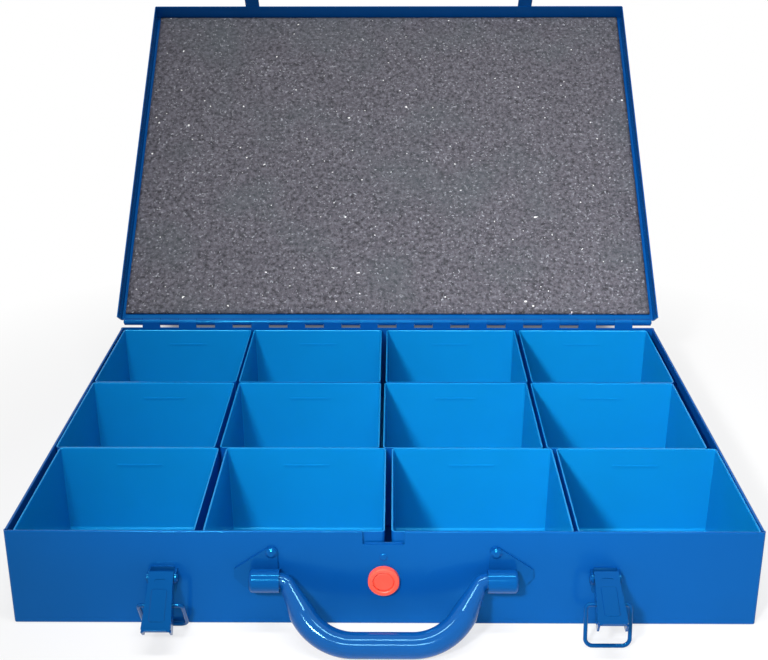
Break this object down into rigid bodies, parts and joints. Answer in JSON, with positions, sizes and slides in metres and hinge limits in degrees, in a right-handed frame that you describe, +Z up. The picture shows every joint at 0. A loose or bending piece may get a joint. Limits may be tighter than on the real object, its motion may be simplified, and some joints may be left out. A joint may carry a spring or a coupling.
{
  "type": "compartment storage box",
  "caption": "Shallow folded steel case with a foam-lined hinged lid, lift-out open bins, two draw latches, a swinging carrying handle and a push button.",
  "frame": {"origin": "centre of the tray's underside, on the surface it stands on", "axes": "+X to the right seen from the front, +Y to the hinge at the back, +Z up"},
  "size_m": [0.4424, 0.6259, 0.3055],
  "materials": {
    "case_steel": "gloss",
    "fitting_steel": "gloss",
    "grey_foam": "matte",
    "bin_plastic": "gloss",
    "handle_plastic": "gloss",
    "red_plastic": "gloss"
  },
  "bodies": {
    "tray": {"base_tray": "case_steel", "hinge_pin": "fitting_steel", "latch_plate_left": "fitting_steel", "latch_plate_right": "fitting_steel", "latch_pin_left": "fitting_steel", "latch_pin_right": "fitting_steel", "handle_bracket_left": "fitting_steel", "handle_bracket_right": "fitting_steel", "latch_rivets": "fitting_steel", "bracket_rivets": "fitting_steel", "button_collar": "red_plastic", "leaf_rivet": "fitting_steel", "catch_leaf": "fitting_steel"},
    "lid": {"lid_tray": "case_steel", "lid_foam": "grey_foam", "keeper_left": "fitting_steel", "keeper_right": "fitting_steel"},
    "lever_left": {"latch_lever_left": "fitting_steel"},
    "lever_right": {"latch_lever_right": "fitting_steel"},
    "bail_left": {"latch_bail_left": "fitting_steel"},
    "bail_right": {"latch_bail_right": "fitting_steel"},
    "carry_handle": {"handle": "handle_plastic"},
    "button": {"release_button": "red_plastic"},
    "bin_front_1_body": {"bin_front_1": "bin_plastic"},
    "bin_front_2_body": {"bin_front_2": "bin_plastic"},
    "bin_front_3_body": {"bin_front_3": "bin_plastic"},
    "bin_front_4_body": {"bin_front_4": "bin_plastic"},
    "bin_middle_1_body": {"bin_middle_1": "bin_plastic"},
    "bin_middle_2_body": {"bin_middle_2": "bin_plastic"},
    "bin_middle_3_body": {"bin_middle_3": "bin_plastic"},
    "bin_middle_4_body": {"bin_middle_4": "bin_plastic"},
    "bin_rear_1_body": {"bin_rear_1": "bin_plastic"},
    "bin_rear_2_body": {"bin_rear_2": "bin_plastic"},
    "bin_rear_3_body": {"bin_rear_3": "bin_plastic"},
    "bin_rear_4_body": {"bin_rear_4": "bin_plastic"}
  },
  "joints": [
    {"name": "lid_hinge", "type": "hinge", "parent": "tray", "child": "lid", "pos_m": [0, 0.167, 0.0666], "axis": [-1, 0, 0], "range_deg": [-139.3, 0]},
    {"name": "lever_left_hinge", "type": "hinge", "parent": "tray", "child": "lever_left", "pos_m": [-0.1288, -0.1695, 0.0345], "axis": [-1, 0, 0], "range_deg": [-51, 0]},
    {"name": "bail_left_hinge", "type": "hinge", "parent": "lever_left", "child": "bail_left", "pos_m": [-0.1288, -0.18068, 0.02288], "axis": [-1, 0, 0], "range_deg": [0, 258.9]},
    {"name": "lever_right_hinge", "type": "hinge", "parent": "tray", "child": "lever_right", "pos_m": [0.1288, -0.1695, 0.0345], "axis": [-1, 0, 0], "range_deg": [-66, 18]},
    {"name": "bail_right_hinge", "type": "hinge", "parent": "lever_right", "child": "bail_right", "pos_m": [0.1288, -0.1833, 0.02617], "axis": [-1, 0, 0], "range_deg": [-63.5, 232.7]},
    {"name": "handle_hinge", "type": "hinge", "parent": "tray", "child": "carry_handle", "pos_m": [0, -0.172, 0.034], "axis": [-1, 0, 0], "range_deg": [0, 130.5]},
    {"name": "button_slide", "type": "slide", "parent": "tray", "child": "button", "axis": [0, 1, 0], "range_m": [0, 0.0012], "stiffness_N_per_m": 1500, "springref_m": -0.0004, "deforming": ["catch_leaf"]},
    {"name": "bin_front_1_lift", "type": "slide", "parent": "tray", "child": "bin_front_1_body", "axis": [0, 0, 1], "range_m": [0, 0.07]},
    {"name": "bin_front_2_lift", "type": "slide", "parent": "tray", "child": "bin_front_2_body", "axis": [0, 0, 1], "range_m": [0, 0.07]},
    {"name": "bin_front_3_lift", "type": "slide", "parent": "tray", "child": "bin_front_3_body", "axis": [0, 0, 1], "range_m": [0, 0.07]},
    {"name": "bin_front_4_lift", "type": "slide", "parent": "tray", "child": "bin_front_4_body", "axis": [0, 0, 1], "range_m": [0, 0.07]},
    {"name": "bin_middle_1_lift", "type": "slide", "parent": "tray", "child": "bin_middle_1_body", "axis": [0, 0, 1], "range_m": [0, 0.07]},
    {"name": "bin_middle_2_lift", "type": "slide", "parent": "tray", "child": "bin_middle_2_body", "axis": [0, 0, 1], "range_m": [0, 0.07]},
    {"name": "bin_middle_3_lift", "type": "slide", "parent": "tray", "child": "bin_middle_3_body", "axis": [0, 0, 1], "range_m": [0, 0.07]},
    {"name": "bin_middle_4_lift", "type": "slide", "parent": "tray", "child": "bin_middle_4_body", "axis": [0, 0, 1], "range_m": [0, 0.07]},
    {"name": "bin_rear_1_lift", "type": "slide", "parent": "tray", "child": "bin_rear_1_body", "axis": [0, 0, 1], "range_m": [0, 0.07]},
    {"name": "bin_rear_2_lift", "type": "slide", "parent": "tray", "child": "bin_rear_2_body", "axis": [0, 0, 1], "range_m": [0, 0.07]},
    {"name": "bin_rear_3_lift", "type": "slide", "parent": "tray", "child": "bin_rear_3_body", "axis": [0, 0, 1], "range_m": [0, 0.07]},
    {"name": "bin_rear_4_lift", "type": "slide", "parent": "tray", "child": "bin_rear_4_body", "axis": [0, 0, 1], "range_m": [0, 0.07]}
  ],
  "couplings": [
    {"joint": "bail_left_hinge", "follows": "lever_left_hinge", "ratio": -5.0757},
    {"joint": "bail_right_hinge", "follows": "lever_right_hinge", "ratio": -3.5241}
  ]
}
